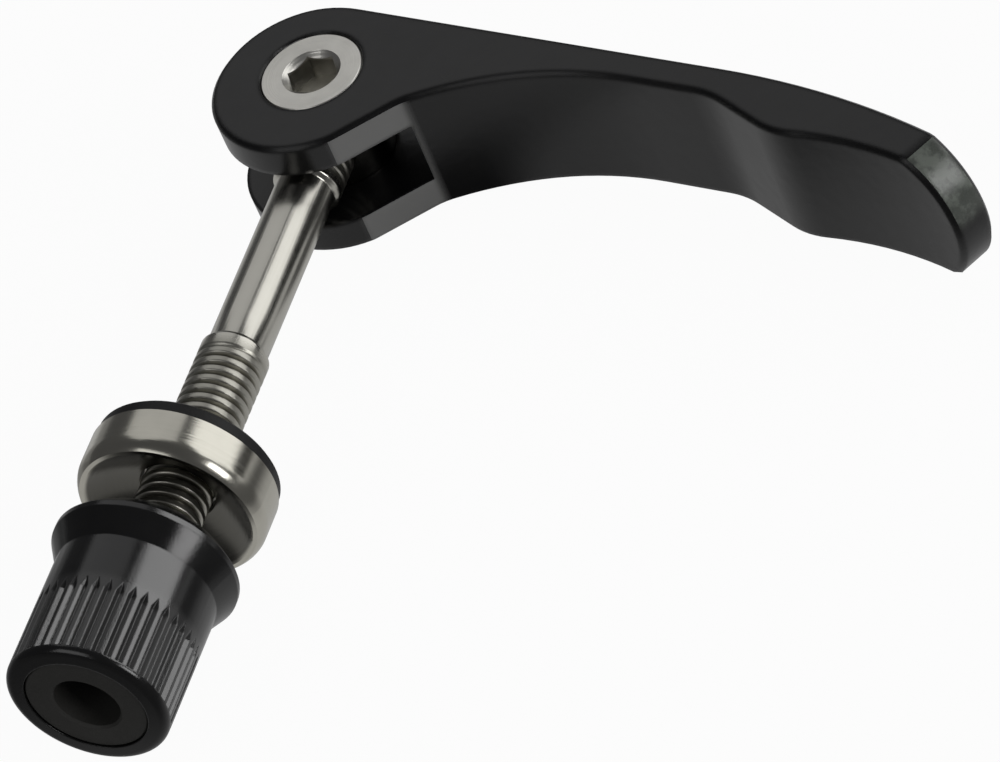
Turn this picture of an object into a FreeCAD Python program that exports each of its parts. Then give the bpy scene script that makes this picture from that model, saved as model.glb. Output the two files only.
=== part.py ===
import FreeCAD, Part
import math
import os

# Quick release seatpost clamp: a forked cam lever, its cross pin, a stud, two washers and a knurled nut.
# Millimetres and degrees. The origin is where the lever's pivot axis crosses the stud's axis.
# Z is the pivot axis, +X runs along the stud to the nut, and the closed handle lies along +Y.

# Lever head: an eccentric cam, forked to take the stud
lever_thickness = 12.4
cam_radius = 8.5
cam_offset = 0.7
slot_height = 6.3
slot_reach = 9.4
flat_angle = 53.4
flat_begin = 8.8
flat_length = 6.5

# Lever handle, measured along its back edge from the head and across from that edge
handle_lean = 12.1
bend_start = 35.7
bend_radius = 75.0
bend_angle = 19.7
tip_thickness = 3.45
tip_round = 8.0
tip_drop = 0.8
waist_position = 28.5
waist_thickness = 2.97
ridge_root = 36.2
ridge_crest = 43.6
crest_thickness = 5.95
pad_radius = 34.0
flat_round = 3.0
foot_round = 5.0
root_round = 8.0
crest_round = 7.5
rim_chamfer = 0.35

# Cross pin, which turns in the lever and holds the stud
pin_radius = 4.45
pin_clearance = 0.05
pin_inset = 0.1
pin_chamfer = 0.1
bore_chamfer = 0.12
mouth_radius = 2.6
mouth_depth = 0.5
socket_width = 4.0
socket_depth = 2.4

# Stud with a rolled thread at each end, drawn at the thread's outside size, ending short of the insert
thread_radius = 2.93
shank_radius = 2.55
thread_play = 0.03
stud_tail = 3.6
pin_thread_end = 7.6
nut_thread_start = 26.5
stud_end_gap = 3.1423
stud_chamfer = 0.6

# Back washer and cup washer, loose on the stud
washer_play = 0.27
washer_position = 38.0
back_washer_thickness = 1.3
back_washer_chamfer = 0.25
back_washer_inset = 0.2
cup_radius = 7.95
cup_height = 4.0
cup_wall_height = 2.7
lip_inset = 0.5
lip_land = 0.35
dish_radius = 10.3

# Knurled nut, with a ball seat that nests in the cup
seat_clearance = 0.3
nut_standoff = 4.1
nut_thread_play = 0.05
entry_radius = 3.6
entry_depth = 0.65
flange_radius = 7.75
flange_land = 0.5
flange_slope = 2.1
body_radius = 6.7
body_length = 11.8
end_round = 0.7
knurl_count = 42
knurl_length = 6.0
knurl_taper = 0.9
knurl_depth = 0.4
knurl_half_width = 0.33

# Locking insert in the nut's outer end
pocket_radius = 5.1
pocket_depth = 4.0
insert_fit = 0.03
insert_recess = 0.12
insert_edge_chamfer = 0.15
insert_hole_radius = 2.75
insert_hole_chamfer = 0.2

margin = 2.0

x_axis = FreeCAD.Vector(1, 0, 0)
z_axis = FreeCAD.Vector(0, 0, 1)
origin = FreeCAD.Vector(0, 0, 0)


def turned(angle):
    """Unit vector in the XY plane, the angle counted from +Y towards +X."""
    radians = math.radians(angle)
    return FreeCAD.Vector(math.sin(radians), math.cos(radians), 0)


handle_along = turned(handle_lean)
handle_across = turned(handle_lean + 90)
cam_centre = handle_across * cam_offset
back_edge_start = cam_centre - handle_across * cam_radius


def handle_point(along, across):
    """Point of the lever's outline, from places along and across the handle."""
    return back_edge_start + handle_along * along + handle_across * across


def left_arc(start, end, radius):
    """Shorter arc from start to end in the XY plane, with its centre on the left of the way."""
    chord = end - start
    to_centre = z_axis.cross(chord).normalize()
    centre_distance = math.sqrt(radius ** 2 - (chord.Length / 2) ** 2)
    crown = (start + end) * 0.5 + to_centre * (centre_distance - radius)
    return Part.Arc(start, crown, end)


def crown_radius(rise, half_span):
    """Radius of the arc that rises by the given amount over half its span."""
    return (rise ** 2 + half_span ** 2) / (2 * rise)


def revolved(edges):
    """Solid of revolution about X from a closed chain of edges in the XY plane."""
    face = Part.Face(Part.Wire([edge.toShape() for edge in edges]))
    return face.revolve(origin, x_axis, 360)


def chain(points):
    """Straight segments that join the points in turn and close on the first."""
    return [Part.LineSegment(a, b) for a, b in zip(points, points[1:] + points[:1])]


def turned_profile(stations):
    """Solid of revolution about X from pairs of place along X and radius."""
    return revolved(chain([FreeCAD.Vector(x, radius, 0) for x, radius in stations]))


def ball_depth(ball_radius, radius):
    """Distance from a ball's centre to the plane where the ball has the given radius."""
    return math.sqrt(ball_radius ** 2 - radius ** 2)


def upright_edges(shape, place):
    """Edges parallel to Z that stand at the given place."""
    found = []
    for edge in shape.Edges:
        ends = (edge.firstVertex().Point, edge.lastVertex().Point)
        if all(math.hypot(end.x - place.x, end.y - place.y) < rim_chamfer for end in ends):
            found.append(edge)
    return found


def lever_blank():
    """Lever outline at full thickness, with the creases of its finger side rounded."""
    bend = math.radians(bend_angle)
    bend_end = handle_point(bend_start + bend_radius * math.sin(bend), bend_radius * (1 - math.cos(bend)))
    bend_middle = handle_point(
        bend_start + bend_radius * math.sin(bend / 2), bend_radius * (1 - math.cos(bend / 2))
    )
    tip_across = turned(handle_lean + bend_angle + 90)
    tip_inner = bend_end + tip_across * tip_thickness
    crest = handle_point(ridge_crest, crest_thickness)

    root = handle_point(ridge_root, waist_thickness)
    waist = handle_point(waist_position, waist_thickness)
    flat_start = cam_centre + turned(handle_lean - flat_angle + 90 + flat_begin) * cam_radius
    foot = flat_start + turned(handle_lean - flat_angle) * flat_length
    from_waist = foot - waist
    scoop_radius = crown_radius(from_waist.dot(handle_across), from_waist.dot(handle_along))

    back_edge_end = handle_point(bend_start, 0)
    head_far_side = cam_centre - handle_along * cam_radius
    outline = [
        Part.LineSegment(back_edge_start, back_edge_end),
        Part.Arc(back_edge_end, bend_middle, bend_end),
        Part.LineSegment(bend_end, tip_inner),
        left_arc(tip_inner, crest, pad_radius),
        Part.LineSegment(crest, root),
        Part.LineSegment(root, waist),
        left_arc(waist, foot, scoop_radius),
        Part.LineSegment(foot, flat_start),
        Part.Arc(flat_start, head_far_side, back_edge_start),
    ]
    face = Part.Face(Part.Wire([piece.toShape() for piece in outline]))
    blank = face.extrude(z_axis * lever_thickness)
    blank.translate(z_axis * (-lever_thickness / 2))
    creases = ((flat_start, flat_round), (foot, foot_round), (root, root_round), (crest, crest_round))
    for place, radius in creases:
        blank = blank.makeFillet(radius, upright_edges(blank, place))

    tip_along = turned(handle_lean + bend_angle)
    outside = bend_end - tip_across * margin
    round_centre = outside - tip_along * tip_round - z_axis * tip_drop
    corner = outside - tip_along * tip_round
    outer = tip_along * (tip_round + margin)
    upper = z_axis * (lever_thickness / 2 + margin)
    depth = tip_thickness + 2 * margin
    corners = [corner - upper, corner + outer - upper, corner + outer + upper, corner + upper]
    end_block = Part.Face(Part.makePolygon(corners + corners[:1])).extrude(tip_across * depth)
    end_cylinder = Part.makeCylinder(tip_round, depth, round_centre, tip_across)
    return blank.cut(end_block.cut(end_cylinder))


def rim_edges(shape):
    """Edges of the lever's two flat faces and of its rounded tip."""
    half = lever_thickness / 2
    found = []
    for edge in shape.Edges:
        box = edge.BoundBox
        on_face = box.ZLength < rim_chamfer and abs(abs(box.Center.z) - half) < rim_chamfer
        round_tip = box.ZLength > rim_chamfer and not isinstance(edge.Curve, Part.Line)
        if on_face or round_tip:
            found.append(edge)
    return found


def make_lever():
    blank = lever_blank()
    body = blank.makeChamfer(rim_chamfer, rim_edges(blank))
    box = body.BoundBox
    slot_corner = FreeCAD.Vector(box.XMin - margin, box.YMin - margin, -slot_height / 2)
    slot = Part.makeBox(box.XLength + 2 * margin, slot_reach - slot_corner.y, slot_height, slot_corner)
    bore_radius = pin_radius + pin_clearance
    half = lever_thickness / 2
    bore = Part.makeCylinder(bore_radius, lever_thickness + 2 * margin, z_axis * (-half - margin))
    body = body.cut(slot).cut(bore)
    mouth = bore_radius + bore_chamfer
    for outward in (z_axis, z_axis * -1):
        flare = Part.makeCone(mouth, bore_radius, bore_chamfer, outward * half, outward * -1)
        body = body.cut(flare)
    return body


def make_cross_pin():
    half = lever_thickness / 2 - pin_inset
    pin = Part.makeCylinder(pin_radius, 2 * half, z_axis * -half)
    ends = [edge for edge in pin.Edges if isinstance(edge.Curve, Part.Circle)]
    pin = pin.makeChamfer(pin_chamfer, ends)
    mouth = Part.makeCone(mouth_radius, socket_width / 2, mouth_depth, z_axis * half, z_axis * -1)
    corner_radius = socket_width / math.sqrt(3)
    hexagon = [turned(60 * k) * corner_radius + z_axis * half for k in range(7)]
    socket = Part.Face(Part.makePolygon(hexagon)).extrude(z_axis * -socket_depth)
    hole = Part.makeCylinder(
        thread_radius + thread_play, 2 * (pin_radius + margin), x_axis * (-pin_radius - margin), x_axis
    )
    return pin.cut(mouth).cut(socket).cut(hole)


def make_stud():
    end = pocket_floor - stud_end_gap
    run_out = thread_radius - shank_radius
    return turned_profile([
        (-stud_tail, 0),
        (-stud_tail, thread_radius - stud_chamfer),
        (-stud_tail + stud_chamfer, thread_radius),
        (pin_thread_end, thread_radius),
        (pin_thread_end + run_out, shank_radius),
        (nut_thread_start, shank_radius),
        (nut_thread_start + run_out, thread_radius),
        (end - stud_chamfer, thread_radius),
        (end, thread_radius - stud_chamfer),
        (end, 0),
    ])


washer_bore = thread_radius + washer_play
back_washer_radius = cup_radius - back_washer_inset
lip_radius = cup_radius - lip_inset
dish_mouth_radius = lip_radius - lip_land
cup_back = washer_position + back_washer_thickness
cup_front = cup_back + cup_height
dish_centre = cup_front + ball_depth(dish_radius, dish_mouth_radius)
seat_radius = dish_radius - seat_clearance
seat_centre = dish_centre + nut_standoff
nut_back = seat_centre - ball_depth(seat_radius, entry_radius)
flange_peak = seat_centre - ball_depth(seat_radius, flange_radius)
body_start = flange_peak + flange_land + flange_slope
nut_end = body_start + body_length
pocket_floor = nut_end - pocket_depth


def make_back_washer():
    front = washer_position + back_washer_thickness
    return turned_profile([
        (washer_position, washer_bore),
        (washer_position, back_washer_radius - back_washer_chamfer),
        (washer_position + back_washer_chamfer, back_washer_radius),
        (front, back_washer_radius),
        (front, washer_bore),
    ])


def ball_arc(centre, ball_radius, first_radius, last_radius):
    """Arc of a ball's near side in the XY plane, between two radii from the X axis."""
    middle_radius = (first_radius + last_radius) / 2
    places = [
        FreeCAD.Vector(centre - ball_depth(ball_radius, radius), radius, 0)
        for radius in (first_radius, middle_radius, last_radius)
    ]
    return Part.Arc(*places)


def make_cup_washer():
    lip_outside = FreeCAD.Vector(cup_front, lip_radius, 0)
    wall_end = FreeCAD.Vector(cup_back + cup_wall_height, cup_radius, 0)
    lip_round = crown_radius(lip_inset, cup_height - cup_wall_height)
    dish = ball_arc(dish_centre, dish_radius, dish_mouth_radius, washer_bore)
    back_inside = FreeCAD.Vector(cup_back, washer_bore, 0)
    back_outside = FreeCAD.Vector(cup_back, cup_radius, 0)
    return revolved([
        Part.LineSegment(back_inside, back_outside),
        Part.LineSegment(back_outside, wall_end),
        left_arc(lip_outside, wall_end, lip_round),
        Part.LineSegment(lip_outside, dish.StartPoint),
        dish,
        Part.LineSegment(dish.EndPoint, back_inside),
    ])


def make_nut():
    bore = thread_radius + nut_thread_play
    seat = ball_arc(seat_centre, seat_radius, entry_radius, flange_radius)
    slope_start = FreeCAD.Vector(flange_peak + flange_land, flange_radius, 0)
    stations = [
        seat.EndPoint,
        slope_start,
        FreeCAD.Vector(body_start, body_radius, 0),
        FreeCAD.Vector(nut_end - end_round, body_radius, 0),
    ]
    face_edge = FreeCAD.Vector(nut_end, body_radius - end_round, 0)
    round_centre = FreeCAD.Vector(nut_end - end_round, body_radius - end_round, 0)
    round_middle = round_centre + turned(45) * end_round
    inside = [
        face_edge,
        FreeCAD.Vector(nut_end, pocket_radius, 0),
        FreeCAD.Vector(pocket_floor, pocket_radius, 0),
        FreeCAD.Vector(pocket_floor, bore, 0),
        FreeCAD.Vector(nut_back + entry_depth, bore, 0),
        seat.StartPoint,
    ]
    outline = [seat]
    outline += [Part.LineSegment(a, b) for a, b in zip(stations, stations[1:])]
    outline.append(Part.Arc(stations[-1], round_middle, face_edge))
    outline += [Part.LineSegment(a, b) for a, b in zip(inside, inside[1:])]
    body = revolved(outline)

    groove_start = nut_end - end_round - knurl_length
    corners = [
        FreeCAD.Vector(groove_start, 0, body_radius - knurl_depth),
        FreeCAD.Vector(groove_start, 2 * knurl_half_width, body_radius + knurl_depth),
        FreeCAD.Vector(groove_start, -2 * knurl_half_width, body_radius + knurl_depth),
    ]
    section = Part.makePolygon(corners + corners[:1])
    run_out = Part.Vertex(groove_start - 2 * knurl_taper, 0, body_radius + knurl_depth)
    groove = Part.Face(section).extrude(x_axis * knurl_length)
    groove = groove.fuse(Part.makeLoft([run_out, section], True))
    grooves = []
    for k in range(knurl_count):
        copy = groove.copy()
        copy.rotate(origin, x_axis, 360 * k / knurl_count)
        grooves.append(copy)
    return body.cut(grooves)


def make_insert():
    outside = pocket_radius - insert_fit
    face = nut_end - insert_recess
    return turned_profile([
        (pocket_floor, insert_hole_radius),
        (pocket_floor, outside),
        (face - insert_edge_chamfer, outside),
        (face, outside - insert_edge_chamfer),
        (face, insert_hole_radius + insert_hole_chamfer),
        (face - insert_hole_chamfer, insert_hole_radius),
    ])


pieces = {
    "lever": make_lever(),
    "cross_pin": make_cross_pin(),
    "stud": make_stud(),
    "back_washer": make_back_washer(),
    "cup_washer": make_cup_washer(),
    "knurled_nut": make_nut(),
    "nut_insert": make_insert(),
}

os.makedirs("parts", exist_ok=True)
for name, shape in pieces.items():
    shape.exportStep(os.path.join("parts", name + ".step"))
    box = shape.optimalBoundingBox()
    print(name, shape.ShapeType, len(shape.Solids), shape.isValid(), round(shape.Volume, 2), box)
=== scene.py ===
import bpy
import math
from mathutils import Matrix, Vector


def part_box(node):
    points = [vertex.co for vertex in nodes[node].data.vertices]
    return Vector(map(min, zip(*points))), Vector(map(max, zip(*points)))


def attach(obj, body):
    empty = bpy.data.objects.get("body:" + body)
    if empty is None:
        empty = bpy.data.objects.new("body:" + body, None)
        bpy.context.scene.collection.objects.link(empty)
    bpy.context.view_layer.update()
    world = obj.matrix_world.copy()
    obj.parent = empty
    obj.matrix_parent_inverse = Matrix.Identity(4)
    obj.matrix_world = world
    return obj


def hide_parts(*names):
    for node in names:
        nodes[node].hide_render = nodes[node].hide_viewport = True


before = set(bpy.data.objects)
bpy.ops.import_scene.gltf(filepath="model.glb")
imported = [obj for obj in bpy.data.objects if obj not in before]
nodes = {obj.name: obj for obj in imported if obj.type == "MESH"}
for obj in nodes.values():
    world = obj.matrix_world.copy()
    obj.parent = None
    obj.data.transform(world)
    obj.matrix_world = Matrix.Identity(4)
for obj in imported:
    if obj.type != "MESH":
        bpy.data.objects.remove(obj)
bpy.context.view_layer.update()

mm = 0.001
print("frame loaded with", len(nodes), "solids")


# shader maths as plain expressions
class Value:
    def __init__(self, finish, output):
        self.finish = finish
        self.output = output

    def maths(self, operation, other, flipped=False):
        pair = {0: other, 1: self} if flipped else {0: self, 1: other}
        return self.finish.node("ShaderNodeMath", {"operation": operation}, pair)["Value"]

    def __add__(self, other):
        return self.maths("ADD", other)

    def __sub__(self, other):
        return self.maths("SUBTRACT", other)

    def __rsub__(self, other):
        return self.maths("SUBTRACT", other, flipped=True)

    def __mul__(self, other):
        return self.maths("MULTIPLY", other)

    def __pow__(self, other):
        return self.maths("POWER", other)

    __radd__ = __add__
    __rmul__ = __mul__


def pickSocket(sockets, key):
    if isinstance(key, int):
        return sockets[key]
    return next(socket for socket in sockets if key in (socket.identifier, socket.name))


# one material and the nodes in it
class Finish:
    def __init__(self, name):
        self.material = bpy.data.materials.new(name)
        self.material.use_nodes = True
        self.tree = self.material.node_tree
        self.tree.nodes.clear()

    def node(self, kind, settings=None, sockets=None):
        made = self.tree.nodes.new(kind)
        for key, value in (settings or {}).items():
            setattr(made, key, value)
        for key, value in (sockets or {}).items():
            socket = pickSocket(made.inputs, key)
            if isinstance(value, Value):
                self.tree.links.new(value.output, socket)
            else:
                socket.default_value = value
        outputs = {socket.name: Value(self, socket) for socket in made.outputs}
        outputs.update({socket.identifier: Value(self, socket) for socket in made.outputs})
        return outputs

    def place(self, stretch=(1, 1, 1)):  # object place in millimetres
        coordinates = self.node("ShaderNodeTexCoord")["Object"]
        scale = [1000 * s for s in stretch]
        return self.node("ShaderNodeMapping", None, {"Vector": coordinates, "Scale": scale})["Vector"]

    def facing(self, direction):  # 1 where the surface faces that way
        normal = self.node("ShaderNodeTexCoord")["Normal"]
        sockets = {0: normal, 1: Vector(direction).normalized()}
        return self.node("ShaderNodeVectorMath", {"operation": "DOT_PRODUCT"}, sockets)["Value"]

    def noise(self, place, scale, detail=2, roughness=0.5):
        sockets = {"Vector": place, "Scale": scale, "Detail": detail, "Roughness": roughness}
        return self.node("ShaderNodeTexNoise", None, sockets)["Fac"]

    def rings(self, along, scale):  # turning marks
        sockets = {"W": along, "Scale": scale}
        return self.node("ShaderNodeTexNoise", {"noise_dimensions": "1D"}, sockets)["Fac"]

    def split(self, vector):
        return self.node("ShaderNodeSeparateXYZ", None, {"Vector": vector})

    def ease(self, value, low, high):  # 0 below low, 1 above high
        sockets = {"Value": value, "From Min": low, "From Max": high}
        return self.node("ShaderNodeMapRange", {"interpolation_type": "SMOOTHSTEP"}, sockets)["Result"]

    def blend(self, factor, first, second):
        sockets = {"Factor_Float": factor, "A_Color": first, "B_Color": second}
        return self.node("ShaderNodeMix", {"data_type": "RGBA"}, sockets)["Result_Color"]

    def bump(self, height, strength, depth, edge=0.0):  # depth in mm, rims softened by edge in mm
        sockets = {"Height": height, "Strength": strength, "Distance": depth * mm}
        if edge:
            rim = self.node("ShaderNodeBevel", {"samples": 6}, {"Radius": edge * mm})
            sockets["Normal"] = rim["Normal"]
        return self.node("ShaderNodeBump", None, sockets)["Normal"]

    def surface(self, sockets):
        shader = self.node("ShaderNodeBsdfPrincipled", None, sockets)["BSDF"]
        self.node("ShaderNodeOutputMaterial", None, {"Surface": shader})
        return self.material


def rgba(colour):
    return (*colour, 1.0)


def dress(piece, material):
    piece.data.materials.clear()
    piece.data.materials.append(material)
    for polygon in piece.data.polygons:
        polygon.material_index = 0


# lever: gloss black, with painted reflections lightening the colour where the milled flats and the tip face
# out
leverLook = {
    "black": (0.0045, 0.0045, 0.0048),
    "paintedFlatReflection": (0.31, 0.31, 0.305),
    "paintedTipReflection": (0.170, 0.188, 0.165),
    "flatFacing": (0.751, 0.660, 0.0),
    "flatEdge": (0.965, 0.998),  # how squarely a flat faces that way
    "tipFacing": (0.42, 0.68, 0.60),
    "tipEdge": (0.82, 0.93),
    "tipStart": 46.0,  # no painted reflection nearer the head, mm
    "specular": 0.5,
    "roughness": 0.17,
    "edge": 0.6,  # softened rim, mm
    "cloudScale": 0.35,  # waves per millimetre
    "peelScale": 0.9,
    "grainScale": 9.0,
    "speckScale": 2.6,
    "speckEdge": (0.70, 0.74),
    "bump": (0.05, 0.4),  # strength, and depth in mm
    "reflectionMottleScale": 0.55,
    "reflectionMottleEdge": (0.40, 0.60),
}


def makeLeverFinish(look):
    finish = Finish("leverBlack")
    place = finish.place()
    cloud = finish.noise(place, look["cloudScale"], 3)
    peel = finish.noise(place, look["peelScale"], 2)
    grain = finish.noise(place, look["grainScale"], 2)
    flat = finish.ease(finish.facing(look["flatFacing"]), *look["flatEdge"])
    tip = finish.ease(finish.facing(look["tipFacing"]), *look["tipEdge"])
    tip = tip * finish.ease(finish.split(place)["Y"], look["tipStart"], look["tipStart"] + 2)
    speck = finish.ease(finish.noise(place, look["speckScale"], 3, 0.7), *look["speckEdge"])
    # painted reflection: the milled flats are lightened where they face the light
    colour = finish.blend(flat * 0.8, rgba(look["black"]), rgba(look["paintedFlatReflection"]))
    # painted reflection on the tip face, mottled at random and broken by dark specks
    reflectionMottle = finish.ease(finish.noise(place, look["reflectionMottleScale"], 4, 0.6), *look["reflectionMottleEdge"])
    colour = finish.blend(tip * (0.35 + 0.55 * reflectionMottle + 0.3 * grain), colour, rgba(look["paintedTipReflection"]))
    colour = finish.blend(speck * tip, colour, rgba(look["black"]))
    roughness = look["roughness"] + 0.10 * cloud + 0.05 * grain + 0.12 * flat
    normal = finish.bump(peel + 0.15 * grain, *look["bump"], look["edge"])
    return finish.surface({
        "Base Color": colour,
        "Roughness": roughness,
        "Specular IOR Level": look["specular"],
        "Normal": normal,
    })


dress(nodes["lever"], makeLeverFinish(leverLook))
print("lever dressed")


# cross pin: turned steel, rings round the pivot axis, painted shade darkening the socket
pinLook = {
    "steel": (0.87, 0.855, 0.80),
    "shade": (0.52, 0.51, 0.48),
    "hollowDark": (0.32, 0.31, 0.28),
    "barrel": (0.025, 0.024, 0.022),
    "barrelHalf": 3.15,  # near black between the ears, mm
    "socketRadius": 2.5,
    "socketTop": 5.75,
    "roughness": 0.24,
    "ringScale": 7.0,
    "blotchScale": 0.6,
    "bump": (0.12, 0.2),
}


def makePinFinish(look):
    finish = Finish("pinSteel")
    place = finish.place()
    axes = finish.split(place)
    radius = (axes["X"] ** 2 + axes["Y"] ** 2) ** 0.5
    rings = finish.rings(radius, look["ringScale"])
    blotch = finish.noise(place, look["blotchScale"], 3)
    colour = finish.blend(0.45 * blotch, rgba(look["steel"]), rgba(look["shade"]))
    deep = 1 - finish.ease(axes["Z"], look["socketTop"] - 0.4, look["socketTop"])
    inSocket = deep * (1 - finish.ease(radius, look["socketRadius"], look["socketRadius"] + 0.1))
    # painted shade: the socket is darkened inside
    colour = finish.blend(inSocket * (0.75 + 0.3 * blotch), colour, rgba(look["hollowDark"]))
    height = (axes["Z"] ** 2) ** 0.5
    barrel = 1 - finish.ease(height, look["barrelHalf"], look["barrelHalf"] + 0.2)
    # near black between the ears
    colour = finish.blend(barrel * (0.9 + 0.1 * blotch), colour, rgba(look["barrel"]))
    roughness = look["roughness"] + 0.10 * rings + 0.08 * blotch
    normal = finish.bump(rings, *look["bump"])
    return finish.surface({
        "Base Color": colour,
        "Metallic": 1.0,
        "Roughness": roughness,
        "Normal": normal,
    })


dress(nodes["cross_pin"], makePinFinish(pinLook))
print("cross pin dressed")


# stud: drawn shank with a rolled thread at each end, in millimetres
stud = {
    "start": -3.6,
    "end": 55.8,
    "pinThreadEnd": 7.6,
    "nutThreadStart": 26.5,
    "pitch": 1.0,
    "crestRadius": 2.93,
    "rootRadius": 2.45,
    "shankRadius": 2.55,
    "chamfer": 0.6,
    "fade": 0.5,  # length over which the shank rises to the thread
    "collar": 0.8,  # smooth band before the first groove
    "ringsPerPitch": 14,
    "segments": 64,
}


def studStations(size):
    step = size["pitch"] / size["ringsPerPitch"]
    spans = [
        (size["start"], size["pinThreadEnd"] + size["fade"], step),
        (size["pinThreadEnd"] + size["fade"], size["nutThreadStart"] - size["fade"], 3.0),
        (size["nutThreadStart"] - size["fade"], size["end"], step),
    ]
    stations = []
    for low, high, gap in spans:
        count = round((high - low) / gap)
        stations += [low + (high - low) * k / count for k in range(count)]
    return stations + [size["end"]]


def smooth(share):
    share = min(1.0, max(0.0, share))
    return share * share * (3 - 2 * share)


def studRadius(size, x, angle):
    inThread = max(size["pinThreadEnd"] - x, x - size["nutThreadStart"])  # depth into the nearer thread
    raised = smooth(1 + inThread / size["fade"])
    cut = smooth((inThread - size["collar"]) / size["pitch"])
    phase = (x / size["pitch"] - angle / (2 * math.pi)) % 1.0
    groove = 1 - smooth(1.8 * abs(2 * phase - 1))  # wide crests, narrow grooves
    radius = size["shankRadius"] + (size["crestRadius"] - size["shankRadius"]) * raised
    radius -= (size["crestRadius"] - size["rootRadius"]) * groove * cut
    toEnd = min(x - size["start"], size["end"] - x)
    return min(radius, size["crestRadius"] - size["chamfer"] + toEnd)


def makeStud(size):
    stations = studStations(size)
    columns, rows = len(stations) - 1, size["segments"]
    bpy.ops.object.select_all(action="DESELECT")
    bpy.ops.mesh.primitive_grid_add(x_subdivisions=columns, y_subdivisions=rows, size=2)
    piece = bpy.context.object
    piece.name = "threadedStud"
    for vertex in piece.data.vertices:  # roll the sheet into a tube along X
        x = stations[round((vertex.co.x + 1) / 2 * columns)]
        angle = (vertex.co.y + 1) * math.pi
        radius = studRadius(size, x, angle)
        vertex.co = Vector((x, radius * math.cos(angle), radius * math.sin(angle))) * mm
    bpy.ops.object.mode_set(mode="EDIT")
    bpy.ops.mesh.select_all(action="SELECT")
    bpy.ops.mesh.remove_doubles(threshold=1e-6)
    bpy.ops.mesh.select_all(action="DESELECT")
    bpy.ops.mesh.select_non_manifold()
    bpy.ops.mesh.edge_face_add()
    bpy.ops.mesh.select_all(action="SELECT")
    bpy.ops.mesh.normals_make_consistent(inside=False)
    bpy.ops.object.mode_set(mode="OBJECT")
    bpy.ops.object.shade_smooth_by_angle(angle=math.radians(50))
    return piece


studLook = {
    "steel": (0.62, 0.605, 0.55),
    "rolled": (0.45, 0.44, 0.39),
    "hollowDark": (0.14, 0.134, 0.115),
    "roughness": 0.13,
    "drawnStretch": (0.05, 6.0, 6.0),  # scratches along the shank
    "blotchScale": 0.8,
    "bump": (0.06, 0.2),
}


def makeStudFinish(size, look):
    finish = Finish("studSteel")
    place = finish.place()
    axes = finish.split(place)
    radius = (axes["Y"] ** 2 + axes["Z"] ** 2) ** 0.5
    drawn = finish.noise(finish.place(look["drawnStretch"]), 1.0, 3)
    blotch = finish.noise(place, look["blotchScale"], 3)
    groove = 1 - finish.ease(radius, size["rootRadius"], size["crestRadius"] - 0.08)
    threaded = finish.ease(axes["X"], size["nutThreadStart"], size["nutThreadStart"] + 1)
    threaded = threaded + 1 - finish.ease(axes["X"], size["pinThreadEnd"] - 1, size["pinThreadEnd"])
    root = groove * threaded
    colour = finish.blend(threaded * (0.5 + 0.6 * blotch), rgba(look["steel"]), rgba(look["rolled"]))
    # darker in the thread roots
    colour = finish.blend(root * (0.6 + 0.4 * blotch), colour, rgba(look["hollowDark"]))
    roughness = look["roughness"] + 0.10 * drawn + 0.08 * blotch + 0.12 * threaded
    normal = finish.bump(drawn, *look["bump"])
    return finish.surface({
        "Base Color": colour,
        "Metallic": 1.0,
        "Roughness": roughness,
        "Normal": normal,
    })


threadedStud = makeStud(stud)
dress(threadedStud, makeStudFinish(stud, studLook))
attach(threadedStud, "skewer")
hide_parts("stud")
print("stud threaded:", len(threadedStud.data.polygons), "faces")


# cup washer: turned steel, rings round the stud, painted shade in the dish
cupLook = {
    "steel": (0.67, 0.65, 0.575),
    "shade": (0.44, 0.43, 0.38),
    "dish": (0.09, 0.087, 0.078),
    "dishRadius": 7.1,
    "roughness": 0.10,
    "ringScale": 5.0,
    "blotchScale": 0.5,
    "dishEdge": (0.5, 0.75),  # how squarely the dish faces the nut
    "bump": (0.04, 0.2),
}


def makeCupFinish(look):
    finish = Finish("cupSteel")
    place = finish.place()
    axes = finish.split(place)
    radius = (axes["Y"] ** 2 + axes["Z"] ** 2) ** 0.5
    rings = finish.rings(axes["X"] + radius, look["ringScale"])
    blotch = finish.noise(place, look["blotchScale"], 3)
    colour = finish.blend(0.4 * blotch, rgba(look["steel"]), rgba(look["shade"]))
    # painted shade and reflection: the dish is darkened where it faces the nut
    dish = finish.ease(finish.facing((1, 0, 0)), *look["dishEdge"])
    dish = dish * (1 - finish.ease(radius, look["dishRadius"] - 0.3, look["dishRadius"]))
    colour = finish.blend(dish * 0.9, colour, rgba(look["dish"]))
    roughness = look["roughness"] + 0.12 * rings + 0.06 * blotch
    normal = finish.bump(rings, *look["bump"])
    return finish.surface({
        "Base Color": colour,
        "Metallic": 1.0,
        "Roughness": roughness,
        "Normal": normal,
    })


dress(nodes["cup_washer"], makeCupFinish(cupLook))
print("cup washer dressed")


# back washer and locking insert: black and dark grey plastic
backWasherLook = {
    "name": "washerBlack",
    "colour": (0.006, 0.006, 0.006),
    "pale": (0.014, 0.014, 0.014),
    "roughness": 0.42,
}
insertLook = {
    "name": "insertNylon",
    "colour": (0.030, 0.0295, 0.027),
    "pale": (0.060, 0.059, 0.054),
    "roughness": 0.5,
}
mouldedLook = {"grainScale": 6.0, "cloudScale": 0.7, "specular": 0.4, "bump": (0.12, 0.3)}  # shared by both


def makePlasticFinish(look, moulded):
    finish = Finish(look["name"])
    place = finish.place()
    grain = finish.noise(place, moulded["grainScale"], 3)
    cloud = finish.noise(place, moulded["cloudScale"], 2)
    colour = finish.blend(0.35 * grain + 0.45 * cloud, rgba(look["colour"]), rgba(look["pale"]))
    normal = finish.bump(grain, *moulded["bump"])
    return finish.surface({
        "Base Color": colour,
        "Roughness": look["roughness"] + 0.12 * grain,
        "Specular IOR Level": moulded["specular"],
        "Normal": normal,
    })


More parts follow.
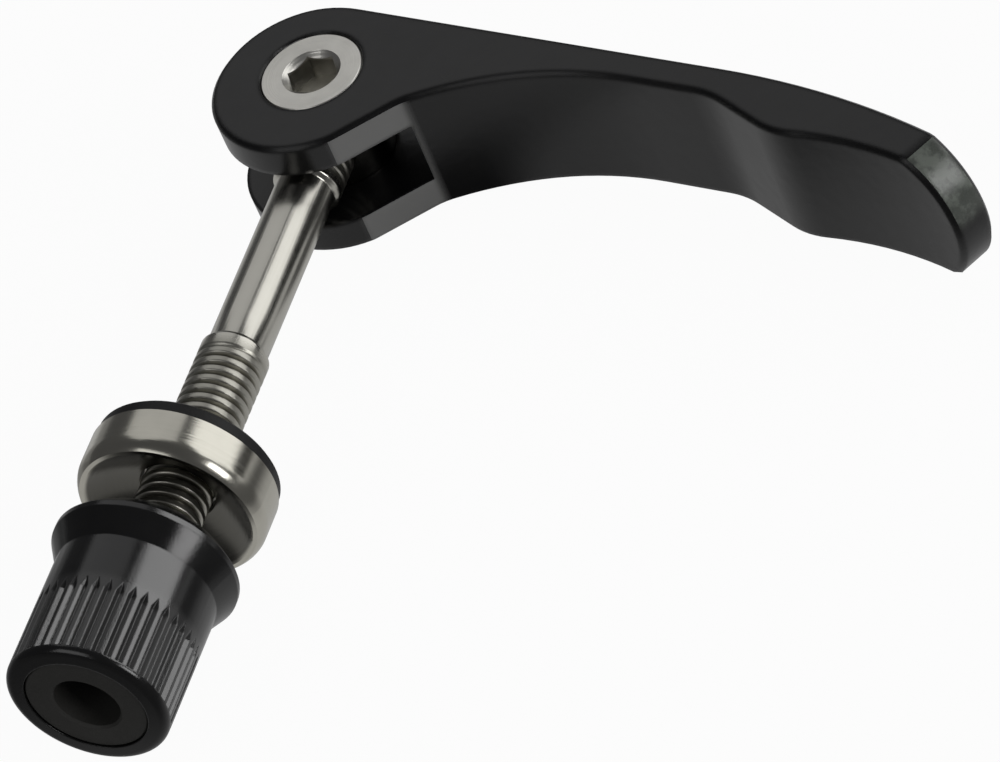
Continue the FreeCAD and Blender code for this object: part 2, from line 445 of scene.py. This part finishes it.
dress(nodes["back_washer"], makePlasticFinish(backWasherLook, mouldedLook))
dress(nodes["nut_insert"], makePlasticFinish(insertLook, mouldedLook))
print("back washer and insert dressed")


# knurled nut: gloss black
nutLook = {
    "black": (0.005, 0.005, 0.0052),
    "paleTone": (0.03, 0.03, 0.03),
    "knurlStart": 54.6,
    "knurlEnd": 62.3,
    "ior": 1.6,
    "roughness": 0.09,
    "edge": 0.15,
    "cloudScale": 0.5,
    "grainScale": 8.0,
    "bump": (0.04, 0.3),
}


def makeNutFinish(look):
    finish = Finish("nutBlack")
    place = finish.place()
    cloud = finish.noise(place, look["cloudScale"], 3)
    grain = finish.noise(place, look["grainScale"], 2)
    along = finish.split(place)["X"]
    knurl = finish.ease(along, look["knurlStart"], look["knurlStart"] + 1)
    knurl = knurl * (1 - finish.ease(along, look["knurlEnd"] - 0.3, look["knurlEnd"]))
    # lighter at random and over the knurled band
    colour = finish.blend(0.25 * cloud * grain + 0.8 * knurl, rgba(look["black"]), rgba(look["paleTone"]))
    normal = finish.bump(grain + cloud, *look["bump"], look["edge"])
    return finish.surface({
        "Base Color": colour,
        "Roughness": look["roughness"] + 0.10 * cloud + 0.05 * grain,
        "IOR": look["ior"],
        "Normal": normal,
    })


dress(nodes["knurled_nut"], makeNutFinish(nutLook))
print("nut dressed")


# floor: pale, near white to the camera, with part of the shadow kept
floorLook = {
    "size": 6.0,
    "colour": (0.84, 0.84, 0.84),
    # painted shade: the floor is darker as seen in reflections
    "mirrored": (0.25, 0.25, 0.25),
    "white": (1.0, 1.0, 1.0),
    "cameraShare": 0.96,
    "glossShare": 0.42,
    "shades": [  # shadows on the mirrored floor, each fading in from one place in mm to the next
        {"X": [(10, 26)], "Y": [(11, 25)], "amount": 1.0},  # between the stud and the lever
        {"X": [(56, 72)], "amount": 1.0},  # past the nut's end
        {"X": [(15, 9)], "Y": [(4, 10), (18, 13)], "amount": 1.0},  # under the lever's head
        {"X": [(22, 32)], "Y": [(-14, -26)], "amount": 0.6},  # beside the nut
        {"Y": [(-40, -60)], "amount": 0.65},  # away to the left
    ],
}


def makeFloor(look):
    lowest = min(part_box(name)[0].z for name in nodes)
    bpy.ops.object.select_all(action="DESELECT")
    bpy.ops.mesh.primitive_plane_add(size=look["size"], location=(0, 0, lowest))
    floor = bpy.context.object
    floor.name = "floor"
    finish = Finish("paleFloor")
    path = finish.node("ShaderNodeLightPath")
    axes = finish.split(finish.place())
    share = look["cameraShare"] * (path["Is Camera Ray"] + path["Is Transmission Ray"])
    lit = 1
    for shade in look["shades"]:
        depth = shade["amount"]
        for axis in ("X", "Y"):
            for low, high in shade.get(axis, []):
                depth = depth * finish.ease(axes[axis], low, high)
        lit = lit * (1 - depth)
    share = share + look["glossShare"] * path["Is Glossy Ray"] * lit
    # painted shade: reflected rays see a darker floor than the camera does
    colour = finish.blend(path["Is Glossy Ray"], rgba(look["colour"]), rgba(look["mirrored"]))
    paper = finish.node("ShaderNodeBsdfDiffuse", None, {"Color": colour})["BSDF"]
    glow = finish.node("ShaderNodeEmission", None, {"Color": rgba(look["white"])})["Emission"]
    mixed = finish.node("ShaderNodeMixShader", None, {0: share, 1: paper, 2: glow})["Shader"]
    finish.node("ShaderNodeOutputMaterial", None, {"Surface": mixed})
    dress(floor, finish.material)


makeFloor(floorLook)
print("floor laid")


# soft studio light: name, direction from the object, distance, size and brightness of its face
# the last entry names the only node that a light reaches
softboxes = [
    ("keyLight", (-0.590, 0.653, 0.474), 0.9, 0.74, 1.15, None),
    ("backLight", (-0.610, -0.290, 0.737), 0.9, 0.74, 0.46, None),
    ("sideLight", (0.20, 0.90, 0.39), 0.8, 0.35, 4.0, None),
    ("frontLight", (0.75, -0.25, 0.61), 1.0, 0.6, 0.9, None),
    ("nutLight", (-0.590, 0.653, 0.474), 0.85, 0.70, 2.0, "knurled_nut"),
]
studio = {"aim": (24, 15, 0), "world": (0.07, 0.07, 0.072)}


def makeSoftbox(name, toward, distance, size, brightness, only):
    lamp = bpy.data.lights.new(name, "AREA")
    lamp.size = size
    lamp.energy = brightness * math.pi * size * size
    holder = bpy.data.objects.new(name, lamp)
    direction = Vector(toward).normalized()
    holder.location = Vector(studio["aim"]) * mm + direction * distance
    holder.rotation_euler = direction.to_track_quat("Z", "Y").to_euler()
    bpy.context.scene.collection.objects.link(holder)
    if only:
        receivers = bpy.data.collections.new(name + "Receivers")
        receivers.objects.link(nodes[only])
        holder.light_linking.receiver_collection = receivers


for softbox in softboxes:
    makeSoftbox(*softbox)

world = bpy.data.worlds.new("studio")
world.use_nodes = True
world.node_tree.nodes["Background"].inputs["Color"].default_value = rgba(studio["world"])
bpy.context.scene.world = world
bpy.context.scene.view_settings.view_transform = "Standard"
print("lights set:", len(softboxes))


# camera at the photograph's place
view = {
    "place": (291.28, 204.33, 296.20),
    "right": (-0.2869, 0.9102, -0.2988),
    "up": (-0.7437, -0.0150, 0.6684),
    "lens": 198.0,
    "sensor": 36.0,
    "nearest": 0.01,  # metres
}


def makeCamera(look):
    data = bpy.data.cameras.new("photoCamera")
    data.lens = look["lens"]
    data.sensor_width = look["sensor"]
    data.clip_start = look["nearest"]
    camera = bpy.data.objects.new("photoCamera", data)
    right = Vector(look["right"]).normalized()
    back = right.cross(Vector(look["up"])).normalized()
    turn = Matrix((right, back.cross(right), back)).transposed()
    camera.matrix_world = Matrix.Translation(Vector(look["place"]) * mm) @ turn.to_4x4()
    bpy.context.scene.collection.objects.link(camera)
    bpy.context.scene.camera = camera


makeCamera(view)
print("camera placed")
